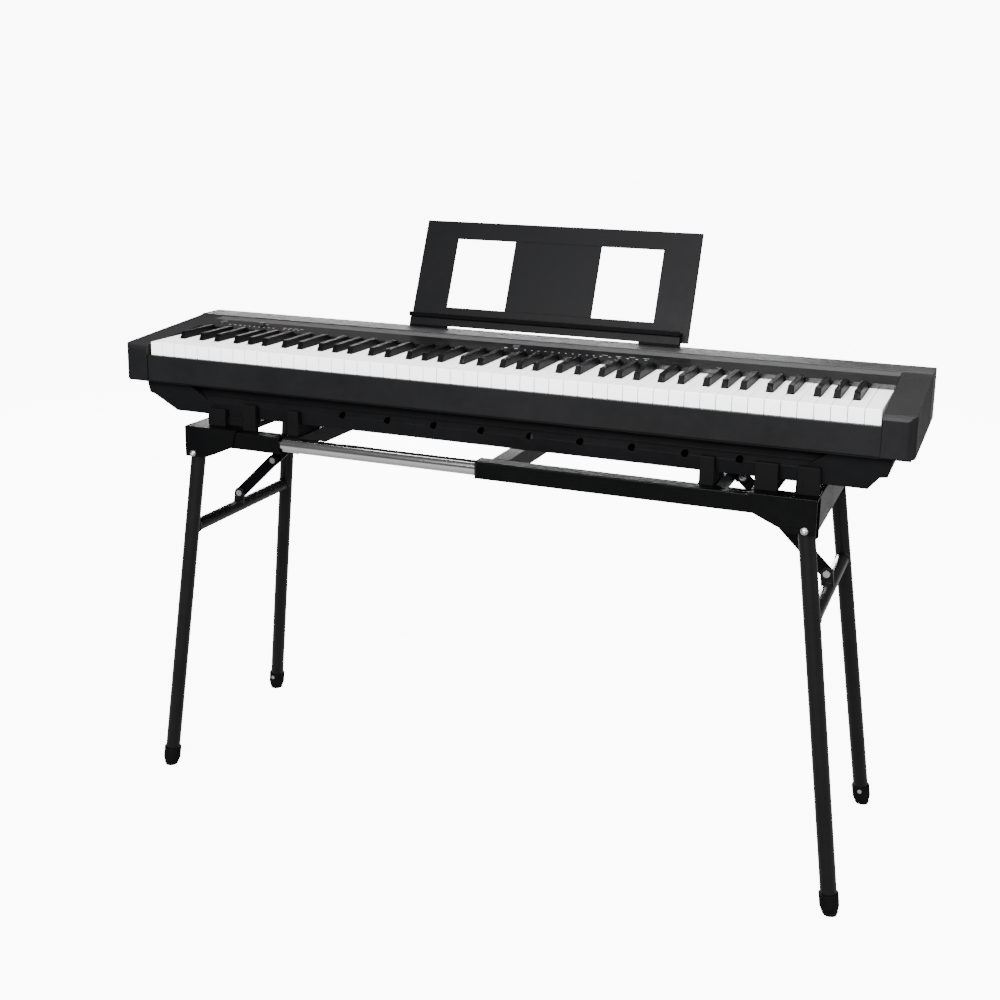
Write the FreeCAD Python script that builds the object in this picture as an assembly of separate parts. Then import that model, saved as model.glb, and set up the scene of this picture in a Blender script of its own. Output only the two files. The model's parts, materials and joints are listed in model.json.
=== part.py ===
import FreeCAD, Part
import math
import os

os.makedirs("parts", exist_ok=True)
V = FreeCAD.Vector

# ---------------------------------------------------------------- driving dimensions (mm)
# Working frame: X along the keyboard, Y to the back, Z up, zero at the middle of the front edge of
# the white key tops. Everything is moved by ORIGIN_SHIFT when it is written, so that the finished
# part stands on Z = 0 with the middle of its footprint on the Z axis.

KEY_TOP_HEIGHT = 776.0      # white key tops above the floor

# keyboard
WHITE_KEYS = 52
KEY_PITCH = 23.5            # one white key with its gap
KEY_GAP = 0.9
SLIP_TOP = -22.0            # the key slip hides the lower edges of the key fronts
KEY_DEPTH = 22.5            # height of the visible front of a white key
KEY_HEAD = 50.0             # full-width part in front of the black keys
KEY_TAIL_END = 235.0        # back end of a key, under the control panel
KEY_WALL = 2.2
BLACK_WIDTH = 10.5
BLACK_TOP_WIDTH = 9.0
BLACK_FRONT = 52.0
BLACK_END = 146.0
BLACK_HEIGHT = 12.0
BLACK_ROOT = -10.0
NOTCH_GAP = 0.9
LAST_BASS_KEY = 22          # B3, counted from A0 = 0
LAST_SINGLE_KEY = 25        # E4: C4 to E4 are five separate keys

# piano case
HALF_LENGTH = 660.0
KEYBED_HALF = 613.0         # inside faces of the end blocks
CASE_FRONT = -10.0
CASE_BACK = 286.0
BLOCK_BOTTOM = -66.0
BLOCK_NOSE = -5.0           # top of an end block at its front
PANEL_FRONT = 148.0
PANEL_FRONT_TOP = 8.0
PANEL_BACK = 226.0
PANEL_BACK_TOP = 14.0
REAR_TOP = 16.0
CASE_BOTTOM = -120.0
SKIN = 3.0                  # wall of the plastic mouldings
CORNER_RADIUS = 14.0
FLANGE = 3.0                # dark set-back band under the end blocks
BAND_HALF = 655.0
BAND_FRONT = -5.0
LOWER_FRONT_TOP = 8.0       # front face of the lower case, at its top and at its bottom
LOWER_FRONT_BOTTOM = 16.0
LOWER_BACK = 283.0
LOWER_RIGHT_STEPS = [(632.0, -66.0), (624.0, -99.0), (613.0, -101.0), (597.0, -120.0)]
LOWER_LEFT_STEPS = [(628.0, -66.0), (625.0, -91.0), (614.0, -95.0), (572.0, -120.0)]
RECESS_BACK = 24.0          # shadow recess along the front of the lower case
RECESS_FLOOR_BACK = -88.0
RECESS_FLOOR_FRONT = -98.0
RECESS_HALF_TOP = 545.0
RECESS_HALF_BOTTOM = 505.0
FRONT_PORTS = 9
FRONT_PORT_PITCH = 82.5
FIRST_PORT_X = -247.5
FRONT_PORT_RADIUS = 5.5
FRONT_PORT_Z = -97.0
SPEAKER_X = 500.0
SPEAKER_Y = 150.0
SPEAKER_RADIUS = 58.0
GRILLE_RADIUS = 48.0
GRILLE_SLOTS = 9
GRILLE_PITCH = 10.0
GRILLE_SLOT_HALF = 2.5
CASE_FOOT_X = 410.0
CASE_FOOT_YS = (100.0, 200.0)
CASE_FOOT_RADIUS = 12.0
CASE_FOOT_HEIGHT = 5.0
SCREW_XS = (-540.0, -270.0, 0.0, 270.0, 540.0)
SCREW_YS = (40.0, 262.0)
SCREW_BOSS_RADIUS = 5.0
SCREW_BOSS_HEIGHT = 10.0
SCREW_RADIUS = 1.6
SCREW_HEAD_RADIUS = 3.4
BOARD_POST_XS = (-125.0, 45.0)
BOARD_POST_YS = (200.0, 255.0)
BOARD_POST_RADIUS = 4.0
BOARD_POST_HEIGHT = 12.0
BOARD_THICK = 1.6
JACK_XS = (-100.0, -70.0, -40.0, -10.0, 20.0)
JACK_SIZE = 14.0
JACK_HEIGHT = 13.0
JACK_DEPTH = 22.0
JACK_BORE = 3.4
KEY_FRAME_HALF = 607.0
KEY_FRAME_FRONT = 13.0
KEY_FRAME_BACK = 246.0
KEY_FRAME_TOP = -47.0
KEY_FRAME_POST_XS = (-580.0, -390.0, -220.0, 80.0, 220.0, 390.0, 580.0)
KEY_FRAME_POST_YS = ((32.0, 42.0), (222.0, 238.0))

# controls on the panel: X and Y of their middles
POWER_PLACE = (-585.0, 180.0)
POWER_RADIUS = 5.0
VOLUME_PLACE = (-500.0, 180.0)
VOLUME_TRAVEL = 22.0        # each way from the middle
FUNCTION_PLACE = (-8.0, 186.0)
FUNCTION_HALF = (6.0, 3.0)  # half width and half depth
CONTROL_GAP = 0.3

# music rest
REST_HALF = 257.0           # half width of the board, whose middle is a little right of the case's
REST_X = 3.0
REST_LEAN = 23.0            # degrees back from upright
REST_Y = 296.0              # front face of the board at height REST_Z
REST_Z = 43.5
REST_RISE = 169.0           # board height above REST_Z, along the board
REST_THICK = 5.0
REST_BOTTOM = 20.5
WINDOW_INNER = 80.5
WINDOW_OUTER = 192.4
WINDOW_LOW = 7.8
WINDOW_HIGH = 136.9
LEDGE_FRONT = 270.0
LEDGE_HALF = 249.0
LEDGE_WALL = 3.0
LEDGE_LIP_TOP = 43.0
LEDGE_LIP_LOW = 35.0         # the front wall steps back under the lip and slopes forward to its foot
LEDGE_STEP = 6.0
REST_FOOT_TOP = 35.0
REST_FOOT_INNER = 178.0
TONGUE_X = (200.0, 240.0)
TONGUE_Y = (272.0, 280.0)
TONGUE_DEPTH = 12.0

# stand
RAIL = 28.0                 # square rail section
RAIL_WALL = 1.5
RAIL_TOP = -139.0
FRAME_FRONT = -16.0         # front face of the front rail
STAND_MID_Y = 147.0
OUTER_RAIL_START = 6.0
COLLAR = 3.0
TUBE_RADIUS = 12.3
TUBE_START = -520.0
TUBE_END = 200.0
SLEEVE_END = -350.0
HEAD_INNER = 434.0
HEAD_OUTER = 534.0
HEAD_LOW = -189.0
HEAD_SHOULDER = (476.0, -181.0)   # where the curved lower edge of a gusset meets its leg fork
HEAD_FORK_X = 497.0
HEAD_LOW_CORNER = [(534.0, -200.0), (526.0, -208.0), (512.0, -211.0)]
SHEET = 3.0
ARM_INNER = (434.0, 470.0)
ARM_OUTER = (495.0, 534.0)
MIDDLE_MEMBER = 22.0        # inner X of the member at the open end of the outer frame
RIGHT_MEMBER = 352.0
PIVOT_X = 518.0
PIVOT_Z = -183.0
LEG_RADIUS = 12.5
LEG_WALL = 1.5
FOOT_X = 592.0
FRONT_FOOT_Y = -14.0
REAR_FOOT_Y = 350.0
BRACE_DISTANCE = 140.0      # from the pivot down the leg
BRACE_RADIUS = 11.0
CAP_RADIUS = 15.0
CAP_HEIGHT = 34.0
CAP_SOLE = 4.0
BOLT_RADIUS = 4.0
RIVET_RADIUS = 2.0
HEAD_RADIUS = 5.5
HEAD_HEIGHT = 2.5
FIT = 0.05                  # radial clearance of bolts and pins
TAB_DISTANCE = 115.0        # lower link pivot, down the leg from the leg pivot
ANCHOR_X = 392.0
ANCHOR_Z = -160.0
LINK_HALF = 10.0
LINK_THICK = 4.0
LINK_GAP = 0.3
LINK_PIN = 3.0
SUPPORT_YS = ((14.0, 74.0), (220.0, 280.0))
SUPPORT_XS = ((440.0, 468.0), (496.0, 508.0))
STOP_YS = (2.0, 11.5)       # upright stops in front of the lower case
LEFT_HEAD_STOPS = [(-500.0, -466.0, -106.0)]    # both sides in X and the top
LEFT_RAIL_STOPS = [(-432.0, -406.0, -94.0), (-345.0, -324.0, -96.0)]
RIGHT_HEAD_STOPS = [(438.0, 472.0, -94.0), (500.0, 532.0, -94.0)]
RIGHT_RAIL_STOPS = [(356.0, 378.0, -94.0)]
FOLD_CLEAR_X = 505.0        # the rear gusset leaves room for the splayed rear leg when it is folded
FOLD_CLEAR_Z = -172.0

FLOOR = -KEY_TOP_HEIGHT
CASE_FLOOR = CASE_BOTTOM + SKIN
FRONT_AXIS = FRAME_FRONT + RAIL / 2.0
REAR_AXIS = 2.0 * STAND_MID_Y - FRONT_AXIS
RAIL_BOTTOM = RAIL_TOP - RAIL
RAIL_MID_Z = RAIL_TOP - RAIL / 2.0
SIN_LEAN = math.sin(math.radians(REST_LEAN))
COS_LEAN = math.cos(math.radians(REST_LEAN))
REST_REAR = REST_Y + REST_RISE * SIN_LEAN + REST_THICK * COS_LEAN
STAND_FRONT_EDGE = FRONT_FOOT_Y - CAP_RADIUS
ORIGIN_SHIFT = V(0.0, -(REST_REAR + STAND_FRONT_EDGE) / 2.0, KEY_TOP_HEIGHT)


# ---------------------------------------------------------------- small helpers
def box(x0, x1, y0, y1, z0, z1):
    return Part.makeBox(x1 - x0, y1 - y0, z1 - z0, V(x0, y0, z0))


def prism(points, direction):
    """Straight solid over a closed outline."""
    outline = Part.makePolygon(points + [points[0]])
    return Part.Face(outline).extrude(direction)


def plate_xz(points, y0, y1):
    return prism([V(x, y0, z) for x, z in points], V(0, y1 - y0, 0))


def plate_yz(points, x0, x1):
    return prism([V(x0, y, z) for y, z in points], V(x1 - x0, 0, 0))


def rod(start, end, radius):
    return Part.makeCylinder(radius, (end - start).Length, start, end - start)


def rod_y(x, z, y0, y1, radius):
    return rod(V(x, y0, z), V(x, y1, z), radius)


def rod_z(x, y, z0, z1, radius):
    return rod(V(x, y, z0), V(x, y, z1), radius)


def fuse(shapes):
    return shapes[0].multiFuse(shapes[1:]).removeSplitter()


def mirrored(shape):
    return shape.mirror(V(0, 0, 0), V(1, 0, 0))


def sided(shape, side):
    return shape if side > 0 else mirrored(shape)


def fore_and_aft(shape):
    """The shape and its twin behind the middle plane of the stand."""
    return [shape, shape.mirror(V(0, STAND_MID_Y, 0), V(0, 1, 0))]


nodes = {}


def add(name, *solids):
    nodes[name] = list(solids)


# ---------------------------------------------------------------- keyboard
def note_of(white):
    return "ABCDEFG"[white % 7]


def has_sharp(white):
    """True where a black key stands between this white key and the next one."""
    return note_of(white) in "ACDFG" and 0 <= white < WHITE_KEYS - 1


def black_centre(white):
    offset = {"C": -3.5, "D": 3.5, "F": -4.5, "G": 0.0, "A": 4.5}[note_of(white)]
    return (white + 1 - WHITE_KEYS / 2.0) * KEY_PITCH + offset


def white_key(white):
    x0 = (white - WHITE_KEYS / 2.0) * KEY_PITCH + KEY_GAP / 2.0
    x1 = x0 + KEY_PITCH - KEY_GAP
    tail0 = x0
    tail1 = x1
    if has_sharp(white - 1):
        tail0 = black_centre(white - 1) + BLACK_WIDTH / 2.0 + NOTCH_GAP
    if has_sharp(white):
        tail1 = black_centre(white) - BLACK_WIDTH / 2.0 - NOTCH_GAP
    head = box(x0, x1, 0, KEY_HEAD, -KEY_DEPTH, 0)
    tail = box(tail0, tail1, KEY_HEAD, KEY_TAIL_END, -KEY_DEPTH, 0)
    key = head.fuse(tail).removeSplitter()
    hollow = box(x0 + KEY_WALL, x1 - KEY_WALL, KEY_WALL, KEY_HEAD - KEY_WALL, -KEY_DEPTH, -KEY_WALL)
    groove = box(tail0 + KEY_WALL, tail1 - KEY_WALL, KEY_HEAD, KEY_TAIL_END - 25.0,
                 -KEY_DEPTH, -KEY_WALL)
    return key.cut(hollow).cut(groove)


def black_key(white):
    centre = black_centre(white)
    side = [(BLACK_FRONT, BLACK_ROOT), (BLACK_FRONT + 1.0, 2.0), (BLACK_FRONT + 7.0, BLACK_HEIGHT),
            (BLACK_END, BLACK_HEIGHT), (BLACK_END, -1.0), (KEY_TAIL_END, -1.0),
            (KEY_TAIL_END, BLACK_ROOT)]
    body = plate_yz(side, centre - BLACK_WIDTH / 2.0, centre + BLACK_WIDTH / 2.0)
    half = BLACK_WIDTH / 2.0
    top = BLACK_TOP_WIDTH / 2.0
    section = [(centre - half, BLACK_ROOT), (centre - half, 0.0), (centre - top, BLACK_HEIGHT),
               (centre + top, BLACK_HEIGHT), (centre + half, 0.0), (centre + half, BLACK_ROOT)]
    return body.common(plate_xz(section, BLACK_FRONT - 1.0, KEY_TAIL_END + 1.0))


def build_keys():
    bass = range(0, LAST_BASS_KEY + 1)
    treble = range(LAST_SINGLE_KEY + 1, WHITE_KEYS)
    add("white_keys_bass", *[white_key(i) for i in bass])
    add("black_keys_bass", *[black_key(i) for i in bass if has_sharp(i)])
    add("white_keys_treble", *[white_key(i) for i in treble])
    add("black_keys_treble", *[black_key(i) for i in treble if has_sharp(i)])
    for white in range(LAST_BASS_KEY + 1, LAST_SINGLE_KEY + 1):
        letter = note_of(white).lower()
        add("key_" + letter + "4", white_key(white))
        if has_sharp(white):
            add("key_" + letter + "_sharp4", black_key(white))


# ---------------------------------------------------------------- piano case
def end_block_solid(inset, open_bottom):
    """Outer form of the right end block, shrunk by an inset."""
    x0 = KEYBED_HALF + 0.5 + inset
    x1 = HALF_LENGTH - inset
    y0 = CASE_FRONT + inset
    y1 = PANEL_BACK - inset
    radius = CORNER_RADIUS - inset
    corner = V(x1 - radius, y0 + radius, 0)
    bevel = math.sqrt(0.5) * radius
    edges = [Part.LineSegment(V(x0, y1, 0), V(x0, y0, 0)).toShape(),
             Part.LineSegment(V(x0, y0, 0), V(x1 - radius, y0, 0)).toShape(),
             Part.Arc(V(x1 - radius, y0, 0), corner + V(bevel, -bevel, 0), V(x1, y0 + radius, 0)).toShape(),
             Part.LineSegment(V(x1, y0 + radius, 0), V(x1, y1, 0)).toShape(),
             Part.LineSegment(V(x1, y1, 0), V(x0, y1, 0)).toShape()]
    plan = Part.Face(Part.Wire(edges)).extrude(V(0, 0, 200))
    plan.translate(V(0, 0, -100))
    low = BLOCK_BOTTOM if open_bottom else BLOCK_BOTTOM + inset
    side = [(y0, low), (y0, BLOCK_NOSE - 7.0 - inset), (y0 + 2.0, BLOCK_NOSE - 2.0 - inset),
            (y0 + 6.5, BLOCK_NOSE + 0.5 - inset), (y1, PANEL_BACK_TOP - inset), (y1, low)]
    return plan.common(plate_yz(side, x0 - 1.0, x1 + 1.0))


def end_block(side):
    return sided(end_block_solid(0.0, False).cut(end_block_solid(SKIN, True)), side)


def front_recess(grow):
    """Long shadow recess under the key slip; its floor slopes out to the front face."""
    top = BLOCK_BOTTOM - FLANGE + grow
    low = RECESS_FLOOR_FRONT - grow
    outline = [(-RECESS_HALF_TOP - grow, top), (RECESS_HALF_TOP + grow, top),
               (RECESS_HALF_BOTTOM + grow, low), (-RECESS_HALF_BOTTOM - grow, low)]
    back = RECESS_BACK + grow
    side = [(-20.0, top), (back, top), (back, RECESS_FLOOR_BACK - grow),
            (LOWER_FRONT_TOP + 4.5 + grow, low), (-20.0, low)]
    return plate_xz(outline, -15.0, back + 5.0).common(plate_yz(side, -HALF_LENGTH, HALF_LENGTH))


def stepped_end(steps, inset):
    """Outline points down one end of the lower case, shrunk by an inset."""
    low_x, low_z = steps[-1]
    return [(x - inset, z) for x, z in steps[:-1]] + [(low_x - inset, low_z + inset)]


def lower_case_solid(inset):
    right = stepped_end(LOWER_RIGHT_STEPS, inset)
    left = stepped_end(LOWER_LEFT_STEPS, inset)
    outline = right + [(-x, z) for x, z in reversed(left)]
    side = [(LOWER_FRONT_TOP + inset, BLOCK_BOTTOM), (LOWER_FRONT_BOTTOM + inset, CASE_BOTTOM + inset),
            (LOWER_BACK - inset, CASE_BOTTOM + inset), (LOWER_BACK - inset, BLOCK_BOTTOM)]
    solid = plate_xz(outline, 0.0, CASE_BACK).common(plate_yz(side, -HALF_LENGTH, HALF_LENGTH))
    return solid.cut(front_recess(inset))


def screw_places():
    return [(x, y) for x in SCREW_XS for y in SCREW_YS]


def board_posts():
    return [(x, y) for x in BOARD_POST_XS for y in BOARD_POST_YS]


def front_port_cuts():
    cuts = []
    for i in range(FRONT_PORTS):
        x = FIRST_PORT_X + i * FRONT_PORT_PITCH
        cuts.append(rod_y(x, FRONT_PORT_Z, 0.0, RECESS_BACK + 1.0, FRONT_PORT_RADIUS))
    return cuts


def jack_opening(x):
    half = JACK_SIZE / 2.0 + 0.5
    low = jack_base() - 0.6
    return box(x - half, x + half, LOWER_BACK - 8.0, LOWER_BACK + 5.0, low, low + JACK_HEIGHT + 1.2)


def screw_hole(x, y):
    through = rod_z(x, y, CASE_BOTTOM - 1.0, CASE_FLOOR + SCREW_BOSS_HEIGHT - 2.0, SCREW_RADIUS + 0.1)
    return through.fuse(rod_z(x, y, CASE_BOTTOM - 1.0, CASE_BOTTOM + 2.0, SCREW_HEAD_RADIUS + 0.2))


def grille_cuts(side):
    """Parallel sound slots inside a circle under one speaker."""
    cuts = []
    x = side * SPEAKER_X
    for i in range(GRILLE_SLOTS):
        offset = (i - (GRILLE_SLOTS - 1) / 2.0) * GRILLE_PITCH
        half = math.sqrt(GRILLE_RADIUS ** 2 - offset ** 2)
        y = SPEAKER_Y + offset
        cuts.append(box(x - half, x + half, y - GRILLE_SLOT_HALF, y + GRILLE_SLOT_HALF,
                        CASE_BOTTOM - 1.0, CASE_FLOOR + 0.5))
    return cuts


def bottom_case():
    shell = lower_case_solid(0.0).cut(lower_case_solid(SKIN))
    band = box(-BAND_HALF, BAND_HALF, BAND_FRONT, LOWER_BACK, BLOCK_BOTTOM - FLANGE, BLOCK_BOTTOM)
    opening = box(-KEY_FRAME_HALF - 1.0, KEY_FRAME_HALF + 1.0, RECESS_BACK + 4.0, LOWER_BACK - SKIN,
                  BLOCK_BOTTOM - 10.0, 0.0)
    pieces = [shell, band.cut(opening)]
    for x, y in screw_places():
        pieces.append(rod_z(x, y, CASE_FLOOR - 1.0, CASE_FLOOR + SCREW_BOSS_HEIGHT, SCREW_BOSS_RADIUS))
    for x, y in board_posts():
        pieces.append(rod_z(x, y, CASE_FLOOR - 1.0, CASE_FLOOR + BOARD_POST_HEIGHT, BOARD_POST_RADIUS))
    case = fuse(pieces)
    cuts = front_port_cuts() + grille_cuts(-1) + grille_cuts(1)
    cuts += [jack_opening(x) for x in JACK_XS]
    cuts += [screw_hole(x, y) for x, y in screw_places()]
    for cut in cuts:
        case = case.cut(cut)
    return case


def top_cover():
    """Rear top strip with the back wall and the two sockets of the music rest."""
    outer = [(PANEL_BACK, REAR_TOP), (CASE_BACK - 5.0, REAR_TOP), (CASE_BACK - 1.5, REAR_TOP - 1.5),
             (CASE_BACK, REAR_TOP - 5.0), (CASE_BACK, BLOCK_BOTTOM), (PANEL_BACK, BLOCK_BOTTOM)]
    inner = [(PANEL_BACK - 1.0, REAR_TOP - SKIN), (CASE_BACK - SKIN, REAR_TOP - SKIN),
             (CASE_BACK - SKIN, BLOCK_BOTTOM - 1.0), (PANEL_BACK - 1.0, BLOCK_BOTTOM - 1.0)]
    cover = plate_yz(outer, -HALF_LENGTH, HALF_LENGTH)
    cover = cover.cut(plate_yz(inner, -HALF_LENGTH + SKIN, HALF_LENGTH - SKIN))
    sockets = []
    slots = []
    for side in (-1, 1):
        x0, x1 = sorted((side * TONGUE_X[0], side * TONGUE_X[1]))
        y0, y1 = TONGUE_Y
        sockets.append(box(x0 - 3.5, x1 + 3.5, y0 - 3.5, CASE_BACK - 1.0, 0.0, REAR_TOP - 1.0))
        slots.append(box(x0 - 0.5, x1 + 0.5, y0 - 0.5, y1 + 0.5, 2.0, REAR_TOP + 1.0))
    cover = fuse([cover] + sockets)
    for slot in slots:
        cover = cover.cut(slot)
    return cover


def key_slip():
    front = box(-KEYBED_HALF, KEYBED_HALF, -8.0, -1.5, BLOCK_BOTTOM, SLIP_TOP)
    shelf = box(-KEYBED_HALF, KEYBED_HALF, -2.0, 12.0, BLOCK_BOTTOM, BLOCK_BOTTOM + 3.0)
    return front.fuse(shelf).removeSplitter()


def panel_top(y):
    """Height of the sloping control panel at a depth y."""
    slope = (PANEL_BACK_TOP - PANEL_FRONT_TOP) / (PANEL_BACK - PANEL_FRONT)
    return PANEL_FRONT_TOP + slope * (y - PANEL_FRONT)


def control_panel():
    lip = PANEL_FRONT_TOP - 6.5
    side = [(PANEL_FRONT, lip), (PANEL_FRONT, PANEL_FRONT_TOP), (PANEL_BACK - 0.5, PANEL_BACK_TOP),
            (PANEL_BACK - 0.5, PANEL_BACK_TOP - SKIN), (PANEL_FRONT + SKIN, PANEL_FRONT_TOP - SKIN),
            (PANEL_FRONT + SKIN, lip)]
    panel = plate_yz(side, -KEYBED_HALF, KEYBED_HALF)
    x, y = POWER_PLACE
    panel = panel.cut(rod_z(x, y, 0.0, 20.0, POWER_RADIUS + CONTROL_GAP))
    x, y = VOLUME_PLACE
    panel = panel.cut(box(x - VOLUME_TRAVEL - 3.0, x + VOLUME_TRAVEL + 3.0, y - 1.5, y + 1.5, 0.0, 20.0))
    x, y = FUNCTION_PLACE
    half_x = FUNCTION_HALF[0] + CONTROL_GAP
    half_y = FUNCTION_HALF[1] + CONTROL_GAP
    return panel.cut(box(x - half_x, x + half_x, y - half_y, y + half_y, 0.0, 20.0))


def power_button():
    x, y = POWER_PLACE
    top = panel_top(y)
    cap = rod_z(x, y, top - 4.5, top + 2.0, POWER_RADIUS)
    rim = rod_z(x, y, top - 6.5, top - 4.0, POWER_RADIUS + 1.5)
    return fuse([cap, rim])


def volume_slider():
    x, y = VOLUME_PLACE
    top = panel_top(y)
    stem = box(x - 2.0, x + 2.0, y - 1.2, y + 1.2, top - 6.0, top + 2.0)
    grip = box(x - 4.0, x + 4.0, y - 5.0, y + 5.0, top + 0.8, top + 6.0)
    return fuse([stem, grip])


def function_button():
    x, y = FUNCTION_PLACE
    half_x, half_y = FUNCTION_HALF
    top = panel_top(y)
    cap = box(x - half_x, x + half_x, y - half_y, y + half_y, top - 4.5, top + 1.8)
    rim = box(x - half_x - 1.5, x + half_x + 1.5, y - half_y - 1.5, y + half_y + 1.5, top - 6.5, top - 4.0)
    return fuse([cap, rim])


def build_controls():
    add("power_button", power_button())
    add("volume_slider", volume_slider())
    add("function_button", function_button())


def key_frame():
    """Tray under the keys: a plate with a front rail, the pivot rail and posts to the case."""
    half = KEY_FRAME_HALF
    top = KEY_FRAME_TOP
    pivot_front = KEY_TAIL_END + 1.5
    pieces = [box(-half, half, KEY_FRAME_FRONT, KEY_FRAME_BACK, top - SKIN, top),
              box(-half, half, KEY_FRAME_FRONT, KEY_FRAME_FRONT + 11.0, top - 1.0, top + 9.0),
              box(-half, half, pivot_front, KEY_FRAME_BACK, top - 1.0, -3.0)]
    for x in KEY_FRAME_POST_XS:
        low = -90.0 if abs(x) > 560.0 else CASE_FLOOR
        for y0, y1 in KEY_FRAME_POST_YS:
            pieces.append(box(x - 2.0, x + 2.0, y0, y1, low, top - 2.0))
    return fuse(pieces)


def contact_board():
    return box(-600.0, 600.0, 100.0, 140.0, KEY_FRAME_TOP, KEY_FRAME_TOP + BOARD_THICK)


def main_board():
    """Circuit board on its four posts, with its larger parts."""
    base = CASE_FLOOR + BOARD_POST_HEIGHT
    x0, x1 = BOARD_POST_XS
    y0, y1 = BOARD_POST_YS
    pieces = [box(x0 - 7.0, x1 + 7.0, y0 - 8.0, y1 + 7.0, base, base + BOARD_THICK)]
    parts = ((-100, 205, 22, 22, 3), (-50, 210, 14, 14, 2.5), (-20, 200, 30, 8, 16), (22, 210, 12, 12, 18),
             (-122, 236, 10, 10, 14))
    for x, y, width, depth, height in parts:
        pieces.append(box(x, x + width, y, y + depth, base + 1.0, base + BOARD_THICK + height))
    return fuse(pieces)


def jack_base():
    return CASE_FLOOR + BOARD_POST_HEIGHT + BOARD_THICK


def rear_jack(x):
    base = jack_base()
    half = JACK_SIZE / 2.0
    body = box(x - half, x + half, LOWER_BACK - JACK_DEPTH, LOWER_BACK, base, base + JACK_HEIGHT)
    return body.cut(rod_y(x, base + JACK_HEIGHT / 2.0, LOWER_BACK - 16.0, LOWER_BACK + 1.0, JACK_BORE))


def speaker(side):
    """Ring, cone basket and magnet of one loudspeaker, mouth down."""
    x = side * SPEAKER_X
    rim = rod_z(x, SPEAKER_Y, CASE_FLOOR + 0.5, CASE_FLOOR + 4.5, SPEAKER_RADIUS)
    basket = Part.makeCone(50.0, 24.0, 24.0, V(x, SPEAKER_Y, CASE_FLOOR + 4.0))
    magnet = rod_z(x, SPEAKER_Y, CASE_FLOOR + 27.0, CASE_FLOOR + 42.0, 28.0)
    mouth = Part.makeCone(49.0, 14.0, 22.0, V(x, SPEAKER_Y, CASE_FLOOR + 0.4))
    return fuse([rim, basket, magnet]).cut(mouth)


def case_screw(x, y):
    shank = rod_z(x, y, CASE_BOTTOM + 1.0, CASE_FLOOR + SCREW_BOSS_HEIGHT - 3.0, SCREW_RADIUS)
    screw_head = rod_z(x, y, CASE_BOTTOM + 0.3, CASE_BOTTOM + 1.9, SCREW_HEAD_RADIUS)
    return shank.fuse(screw_head).removeSplitter()


def case_foot(x, y):
    low = CASE_BOTTOM - CASE_FOOT_HEIGHT
    return Part.makeCone(CASE_FOOT_RADIUS - 1.5, CASE_FOOT_RADIUS, CASE_FOOT_HEIGHT, V(x, y, low))


def build_case():
    add("bottom_case", bottom_case())
    add("top_cover", top_cover())
    add("left_end_block", end_block(-1))
    add("right_end_block", end_block(1))
    add("key_slip", key_slip())
    add("control_panel", control_panel())
    add("key_frame", key_frame())
    add("contact_board", contact_board())
    add("main_board", main_board())
    add("rear_jacks", *[rear_jack(x) for x in JACK_XS])
    add("speaker_left", speaker(-1))
    add("speaker_right", speaker(1))
    add("case_screws", *[case_screw(x, y) for x, y in screw_places()])
    add("case_feet", *[case_foot(s * CASE_FOOT_X, y) for s in (-1, 1) for y in CASE_FOOT_YS])


# ---------------------------------------------------------------- music rest
def on_rest(x, rise, depth):
    """Point on the leaning board: along X, up the board and into its thickness."""
    return V(x, REST_Y + rise * SIN_LEAN + depth * COS_LEAN, REST_Z + rise * COS_LEAN - depth * SIN_LEAN)


def rest_slab(x0, x1, low, high, near, far):
    corners = [on_rest(x0, low, near), on_rest(x1, low, near),
               on_rest(x1, high, near), on_rest(x0, high, near)]
    return prism(corners, V(0, COS_LEAN, -SIN_LEAN) * (far - near))


def music_rest_board():
    board = rest_slab(REST_X - REST_HALF, REST_X + REST_HALF, -30.0, REST_RISE, 0.0, REST_THICK)
    for side in (-1, 1):
        x0, x1 = sorted((REST_X + side * WINDOW_INNER, REST_X + side * WINDOW_OUTER))
        board = board.cut(rest_slab(x0, x1, WINDOW_LOW, WINDOW_HIGH, -1.0, REST_THICK + 1.0))
    x0 = REST_X - WINDOW_INNER
    x1 = REST_X + WINDOW_INNER
    board = board.cut(rest_slab(x0, x1, WINDOW_LOW, WINDOW_HIGH, -1.0, 1.0))
    return board.cut(box(-400, 400, 200, 400, -50, REST_BOTTOM))


def rest_front(z):
    """Depth of the leaning board's front face at a height z."""
    return REST_Y + (z - REST_Z) * SIN_LEAN / COS_LEAN


def music_rest_ledge():
    """Shelf with a front lip, a sloping front wall under it, two feet and their tongues."""
    wall = LEDGE_WALL
    front = LEDGE_FRONT
    low = LEDGE_LIP_LOW
    shelf_top = low + 2.0
    shelf_low = shelf_top - wall
    side = [(front, low), (front, LEDGE_LIP_TOP), (front + wall, LEDGE_LIP_TOP), (front + wall, shelf_top),
            (rest_front(shelf_top), shelf_top), (rest_front(shelf_low), shelf_low),
            (front + LEDGE_STEP + wall, shelf_low), (front + wall + 0.5, REST_BOTTOM),
            (front + 0.5, REST_BOTTOM), (front + LEDGE_STEP, low - 1.0)]
    pieces = [plate_yz(side, -LEDGE_HALF, LEDGE_HALF)]
    for s in (-1, 1):
        x0, x1 = sorted((s * REST_FOOT_INNER, s * LEDGE_HALF))
        pieces.append(box(x0, x1, front + 1.0, CASE_BACK - 3.0, REAR_TOP, REST_BOTTOM + 1.0))
        pieces.append(box(x0, x1, front + LEDGE_STEP + 1.0, CASE_BACK - 3.0, REAR_TOP, REST_FOOT_TOP))
        x0, x1 = sorted((s * TONGUE_X[0], s * TONGUE_X[1]))
        pieces.append(box(x0, x1, TONGUE_Y[0], TONGUE_Y[1], REAR_TOP - TONGUE_DEPTH, REAR_TOP + 1.0))
    return fuse(pieces)


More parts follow.
